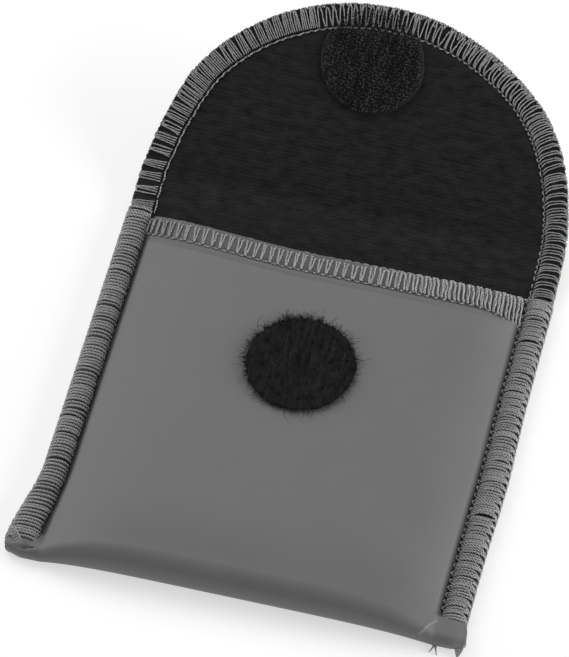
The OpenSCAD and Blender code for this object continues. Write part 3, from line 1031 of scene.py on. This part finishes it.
def looped_edge(name, first, last, nodes):
    """Open stitches on one stretch of the edge: upper looper, lower looper and needle row.
    Each stitch of the upper looper is a wide loop, most with a narrow one inside it."""
    starts = stitch_starts(first, last, rim_pitch, 0.12)
    at = starts[:-1] - left_wraps
    pitch = np.diff(starts)

    def by_place(*values):
        return np.interp(at, rim_places, values)

    reach = by_place(0.88, 0.88, 0.86, 0.84, 0.72, 0.7, 0.74, 0.9)
    wide = by_place(1.25, 1.25, 1.16, 1.16, 1.05, 1.05, 0.95, 0.5) / pitch
    slim = by_place(0.42, 0.42, 0.4, 0.4, 0.3, 0.3, 0.2, 0.2) / pitch
    both = chance.uniform(0, 1, len(at)) < by_place(1, 1, 1, 0.9, 0, 0, 0, 0)
    bow = np.interp(at, [60, 75, 100], [0, -0.4, -0.75])
    width = by_place(0.068, 0.068, 0.06, 0.058, 0.058, 0.06, 0.068, 0.062)
    fullest = by_place(3.6, 4.0, 7.0, 6.0, 2.1, 2.0, 2.0, 3.4)[:, None]
    full = (0.6 * fullest, fullest)
    outer = looper_lines(starts, reach, waver=0.2, narrow=wide, full=full, bow=bow)
    inner = looper_lines(starts, 0.95 * reach, waver=0.16, narrow=slim, full=full, bow=bow)
    upper = [np.concatenate([line, second[both]]) for line, second in zip(outer, inner)]
    width = np.concatenate([width, width[both]])[:, None]
    round_edge = by_place(1.12, 1.12, 1.15, 1.2, 1.35, 1.35, 1.5, 1.15)
    lower = [looper_lines(starts + shift * pitch.mean(), round_edge, waver=0.36, narrow=0.8, full=(1.6, 3.2))
             for shift in (0.15, 0.6)]
    lower = [np.concatenate(pair) for pair in zip(*lower)]
    row_lift = by_place(0.48, 0.48, 0.5, 0.5, 0.4, 0.28, 0.28, 0.28)[:, None]
    to_top = np.interp(at, [38, 50], [0, 1])
    row_rise = 0.06 + 0.05 * to_top[:, None]
    place, over, lifts, swell = needle_line(starts, depth_in=-0.06, lift=row_lift, rise=row_rise)
    thinnest = np.repeat(0.06 - 0.048 * to_top, swell.size // len(at))
    row_width = thinnest + (0.085 - thinnest) * swell
    strands = [seam_strands(edge_surface, upper, lift=0.13, radius=width, facing=1, twist_pitch=ply_pitch),
               seam_strands(edge_surface, lower, lift=0.12, radius=0.05, facing=-1, twist_pitch=ply_pitch),
               seam_strands(edge_surface, (place, over), lifts, row_width, facing=1, twist_pitch=ply_pitch)]
    return seam_pieces(name, strands, nodes)


gap_waver = 0.16
wide_gap = 0.15
group_lean = 0.13
wrap_lean = 0.1
bow_waver = 0.35
drawn_from = 0.58
drawn_run = 0.34
# Halves the facing values of the wraps' plies, which weakens their twist pattern and spreads and softens
# their painted groove shade.
soft_groove_shade = np.array([0.5, 0.5, 1])


def wrap_lines(first, last, spacing, bow, grouped, gather):
    """Looper thread that lies close, as single wraps side by side from the needle line round the edge.
    A share of the gaps is wider, and the wraps of one group lean alike. Gives their places along and over the
    seam, and how far the wraps of one stitch are drawn together at the cut edge."""
    share = np.linspace(0, 1.03, 41)
    gaps = chance.normal(spacing, gap_waver * spacing, int((last - first) / spacing))
    wide = chance.uniform(0, 1, len(gaps)) < grouped
    gaps[wide] += wide_gap * spacing
    starts = first + (last - first) * np.cumsum(gaps) / np.sum(gaps)
    group = np.cumsum(wide)
    lean = chance.normal(0, group_lean, group[-1] + 1)[group][:, None]
    lean = lean + chance.normal(0, wrap_lean, (len(starts), 1))
    bows = bow * chance.normal(1, bow_waver, group[-1] + 1)[group][:, None]
    place = starts[:, None] + lean * (share - 0.5) + bows * np.sin(math.pi * share)
    root = chance.normal(0.03, 0.03, (len(starts), 1))
    stitch = np.floor((starts - first) / stitch_pitch).astype(int)
    middles = np.bincount(stitch, starts) / np.maximum(np.bincount(stitch), 1)
    drawn = gather * (middles[stitch] - starts)[:, None] * smooth((share - drawn_from) / drawn_run)
    return place, root + (1 - root) * share, drawn


def joined(first, second):
    """Two lots of strands as one mesh."""
    faces = first[1] + shifted(second[1], len(first[0]))
    return np.concatenate([first[0], second[0]]), faces, np.concatenate([first[2], second[2]])


def wrapped_edge(name, first, last, lines, radius, needle, nodes):
    """Close stitches on one stretch of the edge: upper looper, lower looper and needle row.
    lines gives the wraps' spacing, their bow, the share of wide gaps and how far they are drawn together,
    and needle how far over the edge the needle row lies, its lift and its rise.
    The lower looper also runs along the cut edge, where it catches the upper one."""
    starts = stitch_starts(first, last, even_pitch, 0.1)
    place, over, lifts, swell = needle_line(starts, **needle)
    around, share, drawn = wrap_lines(first, last, **lines)
    strands = []
    for facing in (1, -1):
        lift = 0.13 + chance.uniform(0, 0.12, (len(around), 1)) * (facing > 0)
        widths = radius * chance.normal(1, 0.08, (len(around), 1))
        wraps = (around + drawn, share)
        points, faces, ply = seam_strands(edge_surface, wraps, lift, widths, facing, ply_pitch)
        strands.append((points, faces, ply * soft_groove_shade))
        around = 2 * around[:, -1:] - around
    chain_end, chain_step = 0.3, 0.14
    chain = np.arange(first + chain_end, last - chain_end, chain_step)[None]
    catch = 0.96 + 0.04 * np.sin(2 * math.pi * chain / stitch_pitch)
    chain = seam_strands(edge_surface, (chain, catch), lift=0.32, radius=0.09, facing=1)
    strands[1] = joined(strands[1], chain)
    strands.append(seam_strands(edge_surface, (place, over), lifts, radius=0.14 * swell, facing=1))
    return seam_pieces(name, strands, nodes)


left_lines = dict(spacing=0.57, bow=0.2, grouped=0.12, gather=0.15)
left_needle = dict(depth_in=-0.005, lift=0.0, rise=0.05)
left_thread = 0.122
right_lines = dict(spacing=0.42, bow=-0.3, grouped=0.15, gather=0.85)
right_needle = dict(depth_in=0.04, lift=0.34, rise=0.3)
right_thread = 0.098
left_seam = wrapped_edge("left_side_wraps", 0, left_wraps, left_lines, left_thread, left_needle, "left_side")
left_seam += looped_edge("left_neck", left_wraps, left_neck, "neck_left")
right_seam = wrapped_edge("right_side_wraps", right_wraps, far_end, right_lines, right_thread, right_needle,
                          "right_side")
right_seam += looped_edge("right_neck", right_neck, right_wraps, "neck_right")
rim_seam = looped_edge("rim_edge", left_neck, right_neck, "rim")
for part in left_seam + right_seam:
    bend_at(part)
for part in rim_seam:
    bend_at(part)

# Thread tails
# The chain of thread that the machine runs off at each end of the side seams, clipped short.
# On the left it lies across the corner. On the right it hangs over the fold and is drawn to a point, with two
# cut ends beside it.


def tail(name, routes, radii):
    """Loose strands along routes of a few points each."""
    steps = np.linspace(0, 1, 21)
    paths = []
    for route in routes:
        share = np.linspace(0, 1, len(route))
        way = [np.pad(np.interp(steps, share, line), 3, "edge") for line in zip(*route)]
        paths.append(np.stack([np.convolve(line, np.ones(7) / 7, "valid") for line in way], -1))
    paths = np.array(paths) + np.array([0, bottom_y, 0])
    radius = radii[0] + (radii[1] - radii[0]) * steps
    strands = tubes(paths, radius, np.array([0.9, 0.3, 0.35]), sides=7)
    return thread_piece(f"{name}_chain_end", strands, f"{name}_thread_tail")


left_routes = [[(-33.9 + k, 3.4 + k, 2.2), (-33.4 + k, 2.8 + k, 2.9 + k),
                (-32.5 + 0.9 * k, 1.9 + 0.8 * k, 2.9 + k), (-31.9 + 0.5 * k, 1.5 + 0.6 * k, 2.5)]
               for k in (-0.26, -0.06, 0.14, 0.3)]
right_routes = [[(31.2 + 0.3 * k, 1.5, 1.5), (31.4 + 0.26 * k, 0.7, 1.1), (31.7 + 0.16 * k, 0.0, 0.7),
                 (32.1, -0.9, 0.25)] for k in range(6)]
right_routes += [[(28.6, 0.9, 0.5), (28.5, 0.2, 0.45), (28.3, -0.4, 0.35), (28.0, -0.85, 0.25)],
                 [(28.7, 0.9, 0.5), (28.8, 0.1, 0.45), (29.0, -0.5, 0.35), (29.25, -1.15, 0.25)]]
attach(tail("left", left_routes, (0.14, 0.1)), "pouch")
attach(tail("right", right_routes, (0.2, 0.07)), "pouch")

# Floor, light and camera
# A pale floor, soft lamps behind, on the left, on the right and low on the left, and a pale sky.
# The camera looks down on the front from a long way off.
floor_size = 3.0
bpy.ops.mesh.primitive_plane_add(size=floor_size)
floor = bpy.context.object
floor.name = "floor"
start, paper = start_finish("pale_paper")
fibres = start.node("TexCoord", {}, {}, out=3).noise(40, 3)
end_finish(start, start.mix(fibres, grey(0.5), grey(0.53)), 0.9, fibres.bump(0.05, 0.1),
           Emission_Color=grey(1), Emission_Strength=0.55)
floor.data.materials.append(paper)


def look(aim):
    """Turn of a lamp or camera that looks along aim with its top upwards."""
    flat = math.hypot(aim[0], aim[1])
    return (math.atan2(flat, -aim[2]), 0, math.atan2(-aim[0], aim[1]))


def lamp(name, place, size, power):
    light = bpy.data.lights.new(name, "AREA")
    light.shape = "DISK"
    light.size = size
    light.energy = power
    made = bpy.data.objects.new(name, light)
    made.location = place
    made.rotation_euler = look(-np.array(place))
    bpy.context.scene.collection.objects.link(made)


lamp("back_lamp", (-0.05, 0.5, 0.6), size=0.5, power=1.1)
lamp("left_lamp", (-0.42, 0.24, 0.5), size=0.5, power=1.7)
lamp("right_lamp", (0.66, 0.0, 0.23), size=0.5, power=4.5)
lamp("low_left_lamp", (-0.7, 0.03, 0.12), size=0.4, power=2.1)
scene = bpy.context.scene
sky = bpy.data.worlds.new("sky")
sky.use_nodes = True
background = sky.node_tree.nodes["Background"].inputs
background["Color"].default_value = grey(1)
background["Strength"].default_value = 0.23
scene.world = sky
scene.view_settings.view_transform = "Standard"

azimuth, elevation = math.radians(14.04), math.radians(55.16)
camera_distance = 0.807
camera_target = np.array([-4.54, -0.01, 3.0]) * mm
back = np.array([math.sin(azimuth) * math.cos(elevation), -math.cos(azimuth) * math.cos(elevation),
                 math.sin(elevation)])
camera_data = bpy.data.cameras.new("camera")
camera_data.lens = 304.2
camera_data.clip_start = 0.05
camera = bpy.data.objects.new("camera", camera_data)
camera.location = camera_target + camera_distance * back
camera.rotation_euler = look(-back)
scene.collection.objects.link(camera)
scene.camera = camera
